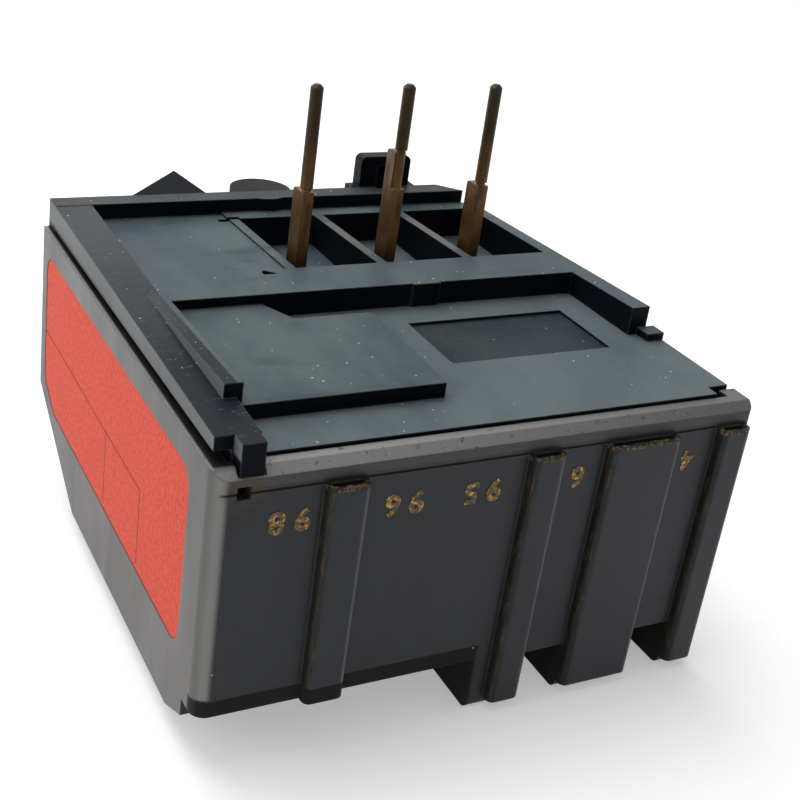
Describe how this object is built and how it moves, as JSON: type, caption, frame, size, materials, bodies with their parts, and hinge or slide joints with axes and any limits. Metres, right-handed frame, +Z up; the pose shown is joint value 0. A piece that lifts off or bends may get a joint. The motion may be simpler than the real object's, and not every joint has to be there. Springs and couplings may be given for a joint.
{
  "type": "thermal overload relay",
  "caption": "Plug-on thermal overload relay with contact pins, wire terminals between barriers, heater windings on bimetal strips, trip slide, lever, setting dial and buttons.",
  "frame": {"origin": "centre of the footprint on the surface under the relay, at the tips of the terminal barriers", "axes": "+X to the right seen from the wire entry side, +Y away from the wire entry side, +Z up along the contact pins"},
  "size_m": [0.06, 0.066, 0.056],
  "materials": {
    "housing_moulding": "worn satin thermoset",
    "cover_moulding": "bluish dark thermoset with dust",
    "label_print": "printed coral red",
    "inner_moulding": "black thermoset",
    "slide_moulding": "natural cream moulding",
    "bimetal": "rolled strip",
    "heater_alloy": "oxidised ribbon",
    "pin_copper": "aged copper",
    "tinned_brass": "stamped strip",
    "contact_silver": "silver tip",
    "plated_steel": "zinc plated",
    "spring_steel": "drawn wire",
    "dial_moulding": "light grey moulding",
    "reset_moulding": "blue moulding",
    "test_moulding": "red moulding"
  },
  "bodies": {
    "relay_body": {"housing": "housing_moulding", "rear_cover": "cover_moulding", "rating_label": "label_print", "terminal_block": "inner_moulding", "bimetal_carrier": "inner_moulding", "contact_holder": "inner_moulding", "slide_guides": "slide_moulding", "bimetal_left": "bimetal", "bimetal_middle": "bimetal", "bimetal_right": "bimetal", "heater_winding_left": "heater_alloy", "heater_winding_middle": "heater_alloy", "heater_winding_right": "heater_alloy", "contact_pin_left": "pin_copper", "contact_pin_middle": "pin_copper", "contact_pin_right": "pin_copper", "main_conductor_left": "tinned_brass", "main_conductor_middle": "tinned_brass", "main_conductor_right": "tinned_brass", "control_terminal_98": "tinned_brass", "control_terminal_96": "tinned_brass", "control_terminal_95": "tinned_brass", "opening_contact": "tinned_brass", "closing_contact": "tinned_brass", "main_terminal_screws": "plated_steel", "main_clamp_washers": "plated_steel", "control_terminal_screws": "plated_steel", "control_clamp_washers": "plated_steel", "lever_bracket": "plated_steel", "lever_pivot_pin": "plated_steel", "contact_pivot_pin": "plated_steel", "mechanism_plate": "plated_steel", "calibration_screw": "plated_steel", "dial_wave_washer": "spring_steel", "reset_spring": "spring_steel", "test_spring": "spring_steel"},
    "slide": {"trip_slide": "slide_moulding"},
    "lever": {"trip_lever": "slide_moulding", "compensating_strip": "bimetal"},
    "contact_lever": {"contact_arm": "tinned_brass", "contact_tips": "contact_silver"},
    "dial": {"setting_dial": "dial_moulding", "dial_cam": "slide_moulding"},
    "reset": {"reset_button": "reset_moulding"},
    "test": {"test_button": "test_moulding"}
  },
  "joints": [
    {"name": "slide_travel", "type": "slide", "parent": "relay_body", "child": "slide", "axis": [-1, 0, 0], "range_m": [0, 0.0015], "stiffness_N_per_m": 60},
    {"name": "lever_turn", "type": "hinge", "parent": "relay_body", "child": "lever", "pos_m": [-0.0124, 0.0142, 0.022], "axis": [0, 1, 0], "range_deg": [0, 7.1]},
    {"name": "contact_turn", "type": "hinge", "parent": "relay_body", "child": "contact_lever", "pos_m": [-0.0254, 0.0142, 0.026], "axis": [0, -1, 0], "range_deg": [0, 9.1]},
    {"name": "dial_turn", "type": "hinge", "parent": "relay_body", "child": "dial", "pos_m": [-0.013, -0.0008, 0.008], "axis": [0, 0, 1], "range_deg": [-135, 135]},
    {"name": "reset_press", "type": "slide", "parent": "relay_body", "child": "reset", "axis": [0, 0, 1], "range_m": [0, 0.0022], "stiffness_N_per_m": 350, "springref_m": -0.001, "deforming": ["reset_spring"]},
    {"name": "test_press", "type": "slide", "parent": "relay_body", "child": "test", "axis": [0, 0, 1], "range_m": [0, 0.0015], "stiffness_N_per_m": 300, "springref_m": -0.001, "deforming": ["test_spring"]}
  ],
  "couplings": [
    {"joint": "lever_turn", "follows": "slide_travel", "rad_per_m": 81.449},
    {"joint": "contact_turn", "follows": "slide_travel", "rad_per_m": 104.72}
  ]
}
